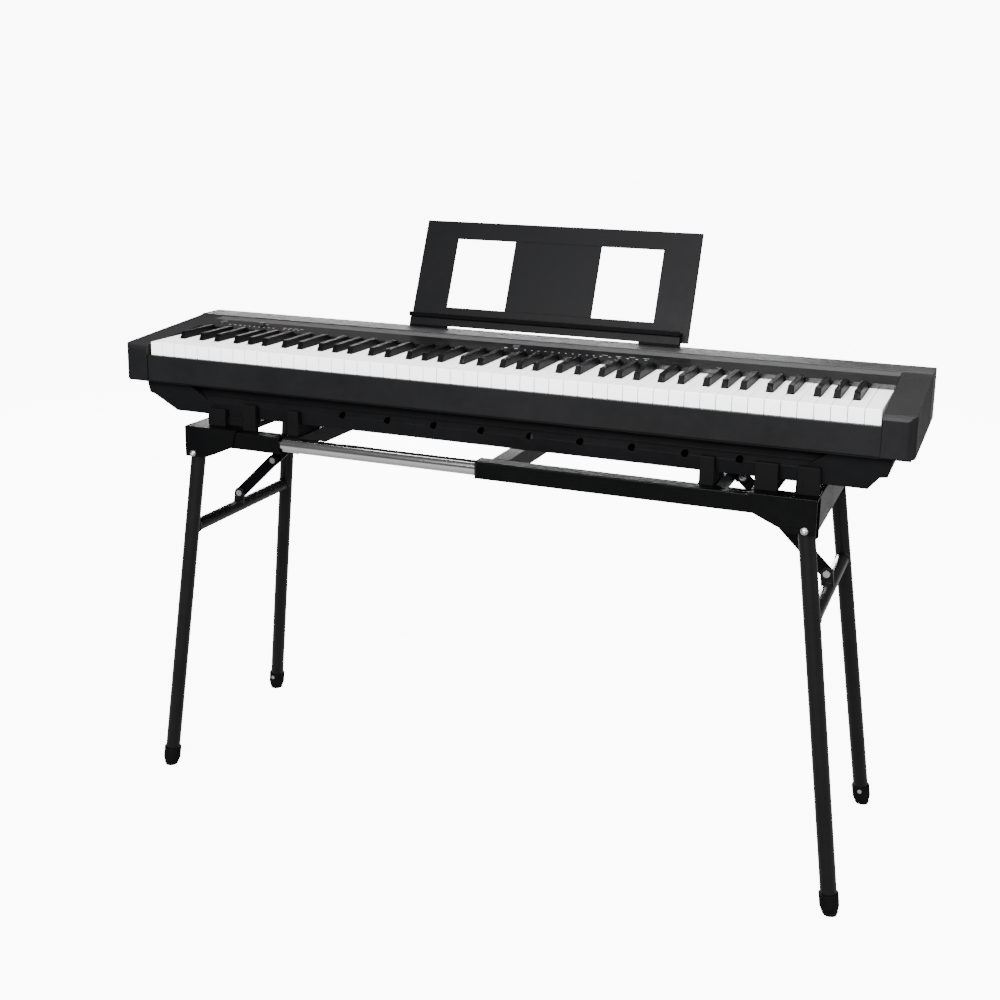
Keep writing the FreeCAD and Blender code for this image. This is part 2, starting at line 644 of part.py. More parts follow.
# ---------------------------------------------------------------- stand frame
def rail_tube(x0, x1, open_end):
    """Square rail closed at its head end; open_end is the X of the open mouth."""
    y0 = FRAME_FRONT
    tube = box(x0, x1, y0, y0 + RAIL, RAIL_BOTTOM, RAIL_TOP)
    bore0 = x0 - 1.0 if open_end == x0 else x0 + COLLAR
    bore1 = x1 + 1.0 if open_end == x1 else x1 - COLLAR
    w = RAIL_WALL
    return tube.cut(box(bore0, bore1, y0 + w, y0 + RAIL - w, RAIL_BOTTOM + w, RAIL_TOP - w))


def chrome_tube():
    start = V(TUBE_START, FRONT_AXIS, RAIL_MID_Z)
    end = V(TUBE_END, FRONT_AXIS, RAIL_MID_Z)
    return rod(start, end, TUBE_RADIUS).cut(rod(start, end, TUBE_RADIUS - 1.5))


def rail_collar():
    y0 = FRAME_FRONT
    x = OUTER_RAIL_START
    ring = box(x - COLLAR, x, y0, y0 + RAIL, RAIL_BOTTOM, RAIL_TOP)
    bore = rod(V(x - 10, FRONT_AXIS, RAIL_MID_Z), V(x + 10, FRONT_AXIS, RAIL_MID_Z), TUBE_RADIUS + FIT)
    return ring.cut(bore)


def pivot_hole(y0, y1):
    return rod_y(PIVOT_X, PIVOT_Z, y0, y1, BOLT_RADIUS + FIT)


def head(low_corner):
    """Welded end head, right-hand: top frame, end plate and the two leg forks."""
    top = RAIL_TOP + SHEET
    gusset_low = HEAD_INNER + 6.0
    frame = box(HEAD_INNER, HEAD_OUTER, FRAME_FRONT - SHEET, FRAME_FRONT + RAIL, RAIL_TOP, top)
    edge = [(gusset_low, RAIL_BOTTOM + 2.0), (HEAD_INNER, top), (HEAD_OUTER, top)]
    gusset_outline = edge + [(HEAD_OUTER, HEAD_LOW), (HEAD_FORK_X, HEAD_LOW), HEAD_SHOULDER]
    inner_outline = gusset_outline
    if low_corner:
        inner_outline = edge + HEAD_LOW_CORNER + [HEAD_SHOULDER]
    inner_y = FRAME_FRONT + RAIL
    gusset = plate_xz(gusset_outline, FRAME_FRONT - SHEET, FRAME_FRONT)
    inner = plate_xz(inner_outline, inner_y, inner_y + SHEET)
    half = fuse([frame, gusset, inner]).cut(pivot_hole(FRAME_FRONT - 10.0, inner_y + 10.0))
    front, rear = fore_and_aft(half)
    rear_face = 2.0 * STAND_MID_Y - FRAME_FRONT
    leg_room = box(HEAD_INNER, FOLD_CLEAR_X, rear_face - 1.0, rear_face + 5.0, HEAD_LOW - 1.0, FOLD_CLEAR_Z)
    rear = rear.cut(leg_room)
    far_y = 2.0 * STAND_MID_Y - inner_y
    pieces = [front, rear]
    for x0, x1 in (ARM_INNER, ARM_OUTER):
        pieces.append(box(x0, x1, inner_y - 1.0, far_y + 1.0, RAIL_TOP, top))
    pieces.append(box(HEAD_OUTER - SHEET, HEAD_OUTER, inner_y, far_y, HEAD_LOW, RAIL_TOP + 1.0))
    return fuse(pieces)


def anchor_lug(member_face):
    """Welded lug on a cross member that carries the upper lock link, right-hand."""
    y0 = STAND_MID_Y + LINK_THICK + 2.0 * LINK_GAP + 1.0
    lug = box(member_face, ANCHOR_X, y0, y0 + LINK_THICK, ANCHOR_Z - LINK_HALF, ANCHOR_Z + LINK_HALF)
    nose = rod_y(ANCHOR_X, ANCHOR_Z, y0, y0 + LINK_THICK, LINK_HALF)
    return lug.fuse(nose).cut(rod_y(ANCHOR_X, ANCHOR_Z, 0, 300, LINK_PIN + FIT))


def cross_member(x0, lug_face):
    y0 = FRAME_FRONT + RAIL
    y1 = 2.0 * STAND_MID_Y - y0
    member = box(x0, x0 + RAIL, y0, y1, RAIL_BOTTOM, RAIL_TOP)
    w = RAIL_WALL
    member = member.cut(box(x0 + w, x0 + RAIL - w, y0 - 1, y1 + 1, RAIL_BOTTOM + w, RAIL_TOP - w))
    if lug_face is None:
        return member
    return fuse([member, anchor_lug(lug_face)])


def left_cross_member():
    """Member of the inner frame, shaped to the two round tubes it joins."""
    x0 = SLEEVE_END
    member = box(x0, x0 + RAIL, FRONT_AXIS, REAR_AXIS, RAIL_BOTTOM, RAIL_TOP)
    w = RAIL_WALL
    bore = box(x0 + w, x0 + RAIL - w, FRONT_AXIS - 1, REAR_AXIS + 1, RAIL_BOTTOM + w, RAIL_TOP - w)
    member = member.cut(bore)
    for y in (FRONT_AXIS, REAR_AXIS):
        member = member.cut(rod(V(x0 - 5, y, RAIL_MID_Z), V(x0 + RAIL + 5, y, RAIL_MID_Z), TUBE_RADIUS))
        near = y if y > STAND_MID_Y else y - RAIL
        member = member.cut(box(x0 - 5, x0 + RAIL + 5, near, near + RAIL, RAIL_BOTTOM - 5, RAIL_TOP + 5))
    return fuse([member, mirrored(anchor_lug(-SLEEVE_END))])


def support_pads(member_x0, member_x1, side):
    """Rubber pads that carry the piano, front and back, on the head arms and one cross member."""
    pads = []
    for y0, y1 in SUPPORT_YS:
        pads.append(box(member_x0, member_x1, y0, y1, RAIL_TOP, CASE_BOTTOM))
        for x0, x1 in SUPPORT_XS:
            pads.append(sided(box(x0, x1, y0, y1, RAIL_TOP + SHEET, CASE_BOTTOM), side))
    return pads


def front_stops(on_head, on_rail):
    """Upright rubber stops that keep the piano from sliding forward, each from its own seat up."""
    y0, y1 = STOP_YS
    stops = [box(x0, x1, y0, y1, RAIL_TOP + SHEET, top) for x0, x1, top in on_head]
    return stops + [box(x0, x1, y0, y1, RAIL_TOP, top) for x0, x1, top in on_rail]


# ---------------------------------------------------------------- legs
def leg_ends(rear):
    pivot = V(PIVOT_X, REAR_AXIS if rear else FRONT_AXIS, PIVOT_Z)
    foot = V(FOOT_X, REAR_FOOT_Y if rear else FRONT_FOOT_Y, FLOOR)
    return pivot, foot


def leg_point(rear, distance):
    pivot, foot = leg_ends(rear)
    direction = (foot - pivot).normalize()
    return pivot + direction * distance


def foot_rivet_place(rear):
    """Axis of the rivet that holds a foot cap, on the side that faces the other leg."""
    pivot, foot = leg_ends(rear)
    length = (foot - pivot).Length
    point = leg_point(rear, length - CAP_HEIGHT + 6.0)
    return point, (-1.0 if rear else 1.0)


def leg_tube(rear):
    pivot, foot = leg_ends(rear)
    direction = (foot - pivot).normalize()
    top = pivot - direction * 20.0
    below = foot + direction * 5.0
    tube = rod(top, below, LEG_RADIUS).cut(rod(top, below, LEG_RADIUS - LEG_WALL))
    crown = box(PIVOT_X - 40, PIVOT_X + 40, pivot.y - 40, pivot.y + 40, PIVOT_Z, PIVOT_Z + 60)
    crown = crown.cut(rod_y(PIVOT_X, PIVOT_Z, pivot.y - 50, pivot.y + 50, LEG_RADIUS))
    tube = tube.cut(crown)
    tube = tube.cut(box(0, 800, pivot.y - 200, pivot.y + 200, FLOOR - 50, FLOOR + CAP_SOLE))
    tube = tube.cut(rod_y(PIVOT_X, PIVOT_Z, pivot.y - 50, pivot.y + 50, BOLT_RADIUS + FIT))
    point, way = foot_rivet_place(rear)
    return tube.cut(rod(point, point + V(0, way * 30.0, 0), RIVET_RADIUS))


def foot_cap(rear):
    pivot, foot = leg_ends(rear)
    up = (pivot - foot).normalize()
    start = foot - up * 4.0
    cone_height = 18.0
    sole = Part.makeCone(CAP_RADIUS - 5.0, CAP_RADIUS, cone_height, start, up)
    sleeve = rod(start + up * cone_height, foot + up * CAP_HEIGHT, CAP_RADIUS)
    cap = sole.fuse(sleeve).removeSplitter()
    bore = rod(start, foot + up * (CAP_HEIGHT + 5.0), LEG_RADIUS)
    bore = bore.cut(box(0, 800, foot.y - 100, foot.y + 100, FLOOR - 50, FLOOR + CAP_SOLE))
    cap = cap.cut(bore)
    cap = cap.cut(box(0, 800, foot.y - 100, foot.y + 100, FLOOR - 50, FLOOR))
    point, way = foot_rivet_place(rear)
    return cap.cut(rod(point, point + V(0, way * 30.0, 0), RIVET_RADIUS))


def foot_rivet(rear):
    point, way = foot_rivet_place(rear)
    out = V(0, way, 0)
    shank = rod(point + out * (LEG_RADIUS - 4.0), point + out * (CAP_RADIUS + 0.6), RIVET_RADIUS)
    rivet_head = rod(point + out * (CAP_RADIUS + 0.5), point + out * (CAP_RADIUS + 1.8), 3.5)
    return shank.fuse(rivet_head).removeSplitter()


def tab_pivot():
    """Pivot of the lower lock link on the leg frame, in the plane of the links."""
    pivot = V(PIVOT_X, 0, PIVOT_Z)
    foot = V(FOOT_X, 0, FLOOR)
    return pivot + (foot - pivot).normalize() * TAB_DISTANCE


def lower_plane():
    return STAND_MID_Y - LINK_THICK + 1.0


def upper_plane():
    return STAND_MID_Y + 1.0 + LINK_GAP


def tab_plane():
    return lower_plane() - LINK_GAP - LINK_THICK


def leg_brace():
    """Round tube between the two legs with its welded tab."""
    front = leg_point(False, BRACE_DISTANCE)
    rear = leg_point(True, BRACE_DISTANCE)
    brace = rod(front, rear, BRACE_RADIUS).cut(rod(front, rear, BRACE_RADIUS - LEG_WALL))
    for is_rear in (False, True):
        pivot, foot = leg_ends(is_rear)
        brace = brace.cut(rod(pivot, foot, LEG_RADIUS))
    middle = V((front.x + rear.x) / 2, 0, (front.z + rear.z) / 2)
    pin = tab_pivot()
    y0 = tab_plane()
    tab = link_bar(middle, pin, y0, y0 + LINK_THICK, LINK_HALF)
    tab = tab.cut(rod(V(front.x, front.y, front.z), V(rear.x, rear.y, rear.z), BRACE_RADIUS - 0.5))
    tab = tab.cut(rod_y(pin.x, pin.z, 0, 300, LINK_PIN + FIT))
    solids = sorted(tab.Solids, key=lambda solid: solid.BoundBox.ZMax)
    return fuse([brace, solids[-1]])


def link_bar(start, end, y0, y1, half):
    """Flat bar with round ends between two points of the XZ plane."""
    along = V(end.x - start.x, 0, end.z - start.z).normalize()
    across = V(-along.z, 0, along.x) * half
    a = V(start.x, y0, start.z)
    b = V(end.x, y0, end.z)
    bar = prism([a + across, b + across, b - across, a - across], V(0, y1 - y0, 0))
    return fuse([bar, rod_y(start.x, start.z, y0, y1, half), rod_y(end.x, end.z, y0, y1, half)])


def knee():
    pin = tab_pivot()
    return V((pin.x + ANCHOR_X) / 2.0, 0, (pin.z + ANCHOR_Z) / 2.0)


def lower_link():
    pin = tab_pivot()
    y0 = lower_plane()
    bar = link_bar(pin, knee(), y0, y0 + LINK_THICK, LINK_HALF)
    bar = bar.cut(rod_y(pin.x, pin.z, 0, 300, LINK_PIN + FIT))
    return bar.cut(rod_y(knee().x, knee().z, 0, 300, LINK_PIN))


def upper_link():
    anchor = V(ANCHOR_X, 0, ANCHOR_Z)
    y0 = upper_plane()
    bar = link_bar(anchor, knee(), y0, y0 + LINK_THICK, LINK_HALF)
    rivet_end = rod_y(knee().x, knee().z, y0 + LINK_THICK - 0.5, y0 + LINK_THICK + 1.8, 5.0)
    bar = bar.cut(rod_y(anchor.x, anchor.z, 0, 300, LINK_PIN + FIT))
    return fuse([bar, rivet_end])


def knee_rivet():
    y0 = lower_plane()
    point = knee()
    shank = rod_y(point.x, point.z, y0 - 0.5, y0 + LINK_THICK, LINK_PIN)
    return shank.fuse(rod_y(point.x, point.z, y0 - 2.0, y0, HEAD_RADIUS)).removeSplitter()


def pin_with_heads(x, z, y0, y1, radius, head_height, head_radius):
    return fuse([rod_y(x, z, y0 - 0.1, y1 + 0.1, radius),
                 rod_y(x, z, y0 - head_height, y0, head_radius),
                 rod_y(x, z, y1, y1 + head_height, head_radius)])


def tab_rivet():
    pin = tab_pivot()
    return pin_with_heads(pin.x, pin.z, tab_plane(), lower_plane() + LINK_THICK, LINK_PIN, 1.8, HEAD_RADIUS)


def anchor_rivet():
    y1 = STAND_MID_Y + 2.0 * LINK_THICK + 2.0 * LINK_GAP + 1.0
    return pin_with_heads(ANCHOR_X, ANCHOR_Z, upper_plane(), y1, LINK_PIN, 1.8, HEAD_RADIUS)


def pivot_bolts():
    y0 = FRAME_FRONT - SHEET
    y1 = FRAME_FRONT + RAIL + SHEET
    return fore_and_aft(pin_with_heads(PIVOT_X, PIVOT_Z, y0, y1, BOLT_RADIUS, HEAD_HEIGHT, HEAD_RADIUS))


def build_stand():
    outer = fore_and_aft(rail_tube(OUTER_RAIL_START, HEAD_OUTER - SHEET, OUTER_RAIL_START))
    add("outer_rail_front", outer[0])
    add("outer_rail_rear", outer[1])
    add("rail_collars", *fore_and_aft(rail_collar()))
    inner = fore_and_aft(chrome_tube())
    add("inner_tube_front", inner[0])
    add("inner_tube_rear", inner[1])
    sleeve = fore_and_aft(rail_tube(-HEAD_OUTER + SHEET, SLEEVE_END, SLEEVE_END))
    add("left_rail_front", sleeve[0])
    add("left_rail_rear", sleeve[1])
    add("left_head", mirrored(head(False)))
    add("right_head", head(True))
    add("left_cross_member", left_cross_member())
    add("middle_cross_member", cross_member(MIDDLE_MEMBER, None))
    add("right_cross_member", cross_member(RIGHT_MEMBER, RIGHT_MEMBER + RAIL))
    left_pads = support_pads(SLEEVE_END + 2.0, SLEEVE_END + RAIL - 2.0, -1)
    right_pads = support_pads(RIGHT_MEMBER + 4.0, RIGHT_MEMBER + RAIL - 2.0, 1)
    add("left_supports", *(left_pads + front_stops(LEFT_HEAD_STOPS, LEFT_RAIL_STOPS)))
    add("right_supports", *(right_pads + front_stops(RIGHT_HEAD_STOPS, RIGHT_RAIL_STOPS)))


def build_legs(name, side):
    add(name + "_leg_front", sided(leg_tube(False), side))
    add(name + "_leg_rear", sided(leg_tube(True), side))
    add(name + "_leg_brace", sided(leg_brace(), side))
    add(name + "_foot_caps", *[sided(foot_cap(rear), side) for rear in (False, True)])
    rivets = [foot_rivet(False), foot_rivet(True), tab_rivet()]
    add(name + "_leg_rivets", *[sided(rivet, side) for rivet in rivets])
    bolts = pivot_bolts() + [anchor_rivet()]
    add(name + "_frame_bolts", *[sided(bolt, side) for bolt in bolts])
    add(name + "_lower_link", sided(lower_link(), side))
    add(name + "_upper_link", sided(upper_link(), side))
    add(name + "_knee_rivet", sided(knee_rivet(), side))


# ---------------------------------------------------------------- build and write
build_case()
build_keys()
build_controls()
add("music_rest_board", music_rest_board())
add("music_rest_ledge", music_rest_ledge())
build_stand()
build_legs("left", -1)
build_legs("right", 1)

for name, solids in nodes.items():
    shape = solids[0] if len(solids) == 1 else Part.makeCompound(solids)
    shape.translate(ORIGIN_SHIFT)
    if not shape.isValid():
        print("not valid:", name)
    print(name, len(shape.Solids), round(shape.Volume))
    shape.exportStep("parts/" + name + ".step")
print(len(nodes), "nodes")
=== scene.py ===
import json
import math

import bmesh
import bpy
from mathutils import Matrix, Vector


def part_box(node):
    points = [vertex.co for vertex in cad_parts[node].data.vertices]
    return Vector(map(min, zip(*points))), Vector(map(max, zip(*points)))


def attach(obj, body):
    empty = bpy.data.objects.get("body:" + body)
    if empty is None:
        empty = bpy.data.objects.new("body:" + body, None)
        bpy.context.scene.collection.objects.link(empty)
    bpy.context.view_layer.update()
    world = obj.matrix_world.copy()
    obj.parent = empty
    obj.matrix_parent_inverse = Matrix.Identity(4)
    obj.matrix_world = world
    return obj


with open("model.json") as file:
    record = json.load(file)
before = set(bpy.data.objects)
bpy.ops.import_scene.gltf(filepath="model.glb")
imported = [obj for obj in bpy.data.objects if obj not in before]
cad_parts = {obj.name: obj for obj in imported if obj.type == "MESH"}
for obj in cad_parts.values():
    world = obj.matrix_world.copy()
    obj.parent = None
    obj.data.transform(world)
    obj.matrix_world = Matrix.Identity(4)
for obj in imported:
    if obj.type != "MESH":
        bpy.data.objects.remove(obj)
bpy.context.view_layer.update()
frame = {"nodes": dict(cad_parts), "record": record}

NODES = frame["nodes"]


# ------------------------------------------------------- node helpers
class Graph:
    """Short calls for building one shader tree."""

    def __init__(self, tree):
        self.tree = tree

    def node(self, kind, **values):
        made = self.tree.nodes.new(kind)
        for key, value in values.items():
            setattr(made, key, value)
        return made

    def link(self, source, target):
        self.tree.links.new(source, target)

    def feed(self, socket, value):
        """A socket gets a link or a plain value."""
        if isinstance(value, bpy.types.NodeSocket):
            self.link(value, socket)
        else:
            socket.default_value = value

    def math(self, operation, a, b=0.0, clamp=False):
        made = self.node("ShaderNodeMath", operation=operation, use_clamp=clamp)
        self.feed(made.inputs[0], a)
        self.feed(made.inputs[1], b)
        return made.outputs[0]

    def noise(self, vector, scale, detail=3.0, roughness=0.55):
        made = self.node("ShaderNodeTexNoise")
        self.link(vector, made.inputs["Vector"])
        made.inputs["Scale"].default_value = scale
        made.inputs["Detail"].default_value = detail
        made.inputs["Roughness"].default_value = roughness
        return made.outputs["Fac"]

    def ramp(self, value, low, high, low_to=0.0, high_to=1.0):
        made = self.node("ShaderNodeMapRange")
        made.clamp = True
        self.feed(made.inputs["Value"], value)
        made.inputs["From Min"].default_value = low
        made.inputs["From Max"].default_value = high
        made.inputs["To Min"].default_value = low_to
        made.inputs["To Max"].default_value = high_to
        return made.outputs["Result"]

    def bump(self, height, strength, distance, normal=None):
        made = self.node("ShaderNodeBump")
        made.inputs["Strength"].default_value = strength
        made.inputs["Distance"].default_value = distance
        self.link(height, made.inputs["Height"])
        if normal is not None:
            self.link(normal, made.inputs["Normal"])
        return made.outputs["Normal"]

    def mix(self, factor, a, b):
        made = self.node("ShaderNodeMix", data_type="RGBA")
        self.feed(made.inputs["Factor"], factor)
        self.feed(made.inputs["A"], a)
        self.feed(made.inputs["B"], b)
        return made.outputs["Result"]


def make_group(name, inputs, outputs):
    tree = bpy.data.node_groups.new(name, "ShaderNodeTree")
    for label, kind, default in inputs:
        socket = tree.interface.new_socket(label, in_out="INPUT", socket_type=kind)
        if default is not None:
            socket.default_value = default
    for label, kind in outputs:
        tree.interface.new_socket(label, in_out="OUTPUT", socket_type=kind)
    graph = Graph(tree)
    return graph, graph.node("NodeGroupInput"), graph.node("NodeGroupOutput")


def moulded_group():
    """Fine moulded grain: a height for the bump and a slow tone variation."""
    graph, start, end = make_group(
        "moulded_grain",
        [("Vector", "NodeSocketVector", None), ("Grain Scale", "NodeSocketFloat", 1400.0)],
        [("Height", "NodeSocketFloat"), ("Tone", "NodeSocketFloat")])
    vector = start.outputs["Vector"]
    cells = graph.node("ShaderNodeTexVoronoi", feature="SMOOTH_F1")
    graph.link(vector, cells.inputs["Vector"])
    graph.link(start.outputs["Grain Scale"], cells.inputs["Scale"])
    speck = graph.node("ShaderNodeTexNoise")
    graph.link(vector, speck.inputs["Vector"])
    graph.link(start.outputs["Grain Scale"], speck.inputs["Scale"])
    speck.inputs["Detail"].default_value = 2.0
    height = graph.math("ADD", cells.outputs["Distance"], speck.outputs["Fac"])
    graph.link(height, end.inputs["Height"])
    slow = graph.noise(vector, 9.0, 4.0)
    fine = graph.noise(vector, 70.0, 3.0)
    tone = graph.math("ADD", graph.math("MULTIPLY", slow, 0.65), graph.math("MULTIPLY", fine, 0.35))
    graph.link(tone, end.inputs["Tone"])
    return graph.tree


def edge_group():
    """1 on worn outer edges, 0 on open faces, broken up by noise."""
    graph, start, end = make_group(
        "edge_rub",
        [("Vector", "NodeSocketVector", None), ("Soft Normal", "NodeSocketVector", None)],
        [("Mask", "NodeSocketFloat")])
    shape = graph.node("ShaderNodeNewGeometry")
    dot = graph.node("ShaderNodeVectorMath", operation="DOT_PRODUCT")
    graph.link(start.outputs["Soft Normal"], dot.inputs[0])
    graph.link(shape.outputs["Normal"], dot.inputs[1])
    edge = graph.ramp(dot.outputs["Value"], 0.995, 0.86)
    broken = graph.ramp(graph.noise(start.outputs["Vector"], 45.0, 4.0), 0.38, 0.62)
    graph.link(graph.math("MULTIPLY", edge, broken), end.inputs["Mask"])
    return graph.tree


def brushed_group():
    """Fine drawn lines along X for polished tube."""
    graph, start, end = make_group(
        "drawn_lines",
        [("Vector", "NodeSocketVector", None)],
        [("Height", "NodeSocketFloat"), ("Tone", "NodeSocketFloat")])
    stretch = graph.node("ShaderNodeMapping")
    graph.link(start.outputs["Vector"], stretch.inputs["Vector"])
    stretch.inputs["Scale"].default_value = (6.0, 900.0, 900.0)
    graph.link(graph.noise(stretch.outputs["Vector"], 1.0, 3.0), end.inputs["Height"])
    graph.link(graph.noise(start.outputs["Vector"], 25.0, 4.0), end.inputs["Tone"])
    return graph.tree


MOULDED = moulded_group()
EDGES = edge_group()
DRAWN = brushed_group()


def use_group(graph, tree, **values):
    made = graph.node("ShaderNodeGroup")
    made.node_tree = tree
    for key, value in values.items():
        graph.feed(made.inputs[key.replace("_", " ")], value)
    return made


def blank_material(name):
    material = bpy.data.materials.new(name)
    material.use_nodes = True
    graph = Graph(material.node_tree)
    shader = material.node_tree.nodes["Principled BSDF"]
    where = graph.node("ShaderNodeTexCoord").outputs["Object"]
    return material, graph, shader, where


def opaque(colour):
    return (*colour, 1.0)


def grainy(name, dark, light, rough, grain=1400.0, bump=0.12, wear=None, coat=0.0, coat_rough=0.1,
           metal=0.0, edge=0.0006, gleam=0.5):
    """Moulded, painted or rubber surface with grain, tone variation and rubbed edges."""
    material, graph, shader, where = blank_material(name)
    pattern = use_group(graph, MOULDED, Vector=where, Grain_Scale=grain)
    tone = graph.ramp(pattern.outputs["Tone"], 0.35, 0.65)
    colour = graph.mix(tone, opaque(dark), opaque(light))
    soft = graph.node("ShaderNodeBevel", samples=4)
    soft.inputs["Radius"].default_value = edge
    worn = use_group(graph, EDGES, Vector=where, Soft_Normal=soft.outputs["Normal"])
    if wear:
        rubbed = graph.math("MULTIPLY", worn.outputs["Mask"], 0.6)
        colour = graph.mix(rubbed, colour, opaque(wear))
    graph.link(colour, shader.inputs["Base Color"])
    shine = graph.ramp(pattern.outputs["Tone"], 0.3, 0.7, rough[0], rough[1])
    polish = graph.math("MULTIPLY", worn.outputs["Mask"], 0.1)
    graph.link(graph.math("SUBTRACT", shine, polish, clamp=True), shader.inputs["Roughness"])
    normal = graph.bump(pattern.outputs["Height"], bump, GRAIN_DEPTH, soft.outputs["Normal"])
    graph.link(normal, shader.inputs["Normal"])
    shader.inputs["Metallic"].default_value = metal
    shader.inputs["Coat Weight"].default_value = coat
    shader.inputs["Coat Roughness"].default_value = coat_rough
    shader.inputs["Specular IOR Level"].default_value = gleam
    return material


def drawn_metal(name, colour, rough):
    """Polished plated tube with faint drawn lines."""
    material, graph, shader, where = blank_material(name)
    pattern = use_group(graph, DRAWN, Vector=where)
    low = tuple(c * 0.86 for c in colour)
    tone = graph.ramp(pattern.outputs["Tone"], 0.3, 0.7)
    graph.link(graph.mix(tone, opaque(low), opaque(colour)), shader.inputs["Base Color"])
    shine = graph.ramp(pattern.outputs["Height"], 0.3, 0.7, rough[0], rough[1])
    graph.link(shine, shader.inputs["Roughness"])
    graph.link(graph.bump(pattern.outputs["Height"], 0.05, LINE_DEPTH), shader.inputs["Normal"])
    shader.inputs["Metallic"].default_value = 1.0
    return material


def panel_look():
    """Glossy control panel whose back strip is matt."""
    material, graph, shader, where = blank_material("panel_gloss")
    pattern = use_group(graph, MOULDED, Vector=where, Grain_Scale=900.0)
    split = graph.node("ShaderNodeSeparateXYZ")
    graph.link(where, split.inputs["Vector"])
    strip = graph.ramp(split.outputs["Y"], MATT_STRIP_START, MATT_STRIP_START + MATT_STRIP_BLEND)
    tone = graph.ramp(pattern.outputs["Tone"], 0.35, 0.65)
    glossy = graph.mix(tone, opaque((0.0010, 0.0010, 0.0012)), opaque((0.0016, 0.0016, 0.0018)))
    matt = opaque((0.0050, 0.0050, 0.0055))
    graph.link(graph.mix(strip, glossy, matt), shader.inputs["Base Color"])
    smudge = graph.ramp(pattern.outputs["Tone"], 0.3, 0.75, 0.14, 0.30)
    rough = graph.node("ShaderNodeMix")
    graph.link(strip, rough.inputs[0])
    graph.link(smudge, rough.inputs[2])
    rough.inputs[3].default_value = 0.5
    graph.link(rough.outputs[0], shader.inputs["Roughness"])
    share = graph.ramp(strip, 0.0, 1.0, 0.08, 1.0)
    height = graph.math("MULTIPLY", pattern.outputs["Height"], share)
    graph.link(graph.bump(height, 0.12, PANEL_GRAIN_DEPTH), shader.inputs["Normal"])
    return material


GRAIN_DEPTH = 0.00012
PANEL_GRAIN_DEPTH = 0.00008
LINE_DEPTH = 0.00005
PANEL_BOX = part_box("control_panel")
MATT_STRIP_START = PANEL_BOX[1][1] - 0.0255
MATT_STRIP_BLEND = 0.0004

LOOKS = {
    "case": grainy(
        "case_plastic", (0.0028, 0.0028, 0.0031), (0.0038, 0.0038, 0.0042), (0.42, 0.54),
        wear=(0.009, 0.009, 0.010), gleam=0.09),
    # painted shade: a darker copy of the case plastic on the lower case, standing in for the shade
    # under the key slip
    "painted_shade_lower_case": grainy(
        "lower_case_plastic_painted_shade", (0.0011, 0.0011, 0.0013), (0.0018, 0.0018, 0.0021), (0.48, 0.60),
        wear=(0.006, 0.006, 0.007), gleam=0.07),
    # painted light: a lighter copy of the case plastic on the top cover, standing in for the light
    # on its top
    "painted_light_cover": grainy(
        "cover_plastic_painted_light", (0.0036, 0.0036, 0.0040), (0.0050, 0.0050, 0.0055), (0.38, 0.48),
        wear=(0.012, 0.012, 0.013), gleam=0.42),
    "panel": panel_look(),
    "white_key": grainy(
        "white_key_plastic", (0.90, 0.90, 0.89), (0.94, 0.94, 0.93), (0.22, 0.32),
        grain=900.0, bump=0.02, coat=0.25, coat_rough=0.08, edge=0.0008),
    "black_key": grainy(
        "black_key_plastic", (0.0003, 0.0003, 0.0004), (0.0006, 0.0006, 0.0007), (0.34, 0.46),
        grain=1100.0, bump=0.08, edge=0.0009, gleam=0.05),
    "paint": grainy(
        "powder_coat", (0.0006, 0.0006, 0.0007), (0.0011, 0.0011, 0.0012), (0.26, 0.38),
        grain=650.0, bump=0.10, wear=(0.007, 0.007, 0.0075), edge=0.0009, gleam=0.06),
    # painted light: a lighter copy of the frame's powder coat on the legs and brace, standing in
    # for the light they catch
    "painted_light_leg_paint": grainy(
        "leg_powder_coat_painted_light", (0.0014, 0.0014, 0.0015), (0.0022, 0.0022, 0.0023), (0.24, 0.34),
        grain=650.0, bump=0.10, wear=(0.008, 0.008, 0.0085), edge=0.0009, gleam=0.16),
    "rubber": grainy(
        "black_rubber", (0.0007, 0.0007, 0.0007), (0.0012, 0.0012, 0.0012), (0.65, 0.8),
        grain=900.0, bump=0.25, gleam=0.06),
    "board": grainy(
        "circuit_board", (0.010, 0.075, 0.035), (0.014, 0.095, 0.045), (0.3, 0.4)),
    "inner": grainy(
        "inner_plastic", (0.006, 0.006, 0.0065), (0.009, 0.009, 0.0095), (0.5, 0.6)),
    "steel": grainy(
        "zinc_steel", (0.30, 0.30, 0.32), (0.42, 0.42, 0.43), (0.30, 0.42),
        grain=1500.0, bump=0.05, metal=1.0, edge=0.0003),
    "chrome": drawn_metal("chrome_tube", (0.58, 0.58, 0.59), (0.08, 0.16)),
    "rest": grainy(
        "rest_plastic", (0.0011, 0.0011, 0.0014), (0.0017, 0.0017, 0.0021), (0.42, 0.52),
        wear=(0.007, 0.007, 0.008), gleam=0.05),
    # painted shade: a darker copy of the rest plastic on the ledge, standing in for the shade at
    # its overhanging lip
    "painted_shade_ledge": grainy(
        "ledge_plastic_painted_shade", (0.0005, 0.0005, 0.0006), (0.0009, 0.0009, 0.0010), (0.42, 0.52),
        wear=(0.006, 0.006, 0.007), gleam=0.05),
    "speaker": grainy(
        "speaker_metal", (0.04, 0.04, 0.042), (0.055, 0.055, 0.058), (0.35, 0.45), metal=0.6),
    "button": grainy(
        "button_plastic", (0.003, 0.003, 0.0035), (0.006, 0.006, 0.0065), (0.4, 0.5),
        grain=1600.0),
    "mark": grainy(
        "legend_ink", (0.13, 0.13, 0.135), (0.19, 0.19, 0.195), (0.5, 0.6),
        grain=2000.0, bump=0.02),
    "weld": grainy(
        "painted_weld", (0.0012, 0.0012, 0.0014), (0.0026, 0.0026, 0.0028), (0.3, 0.42),
        grain=500.0, bump=0.25, gleam=0.2),
}
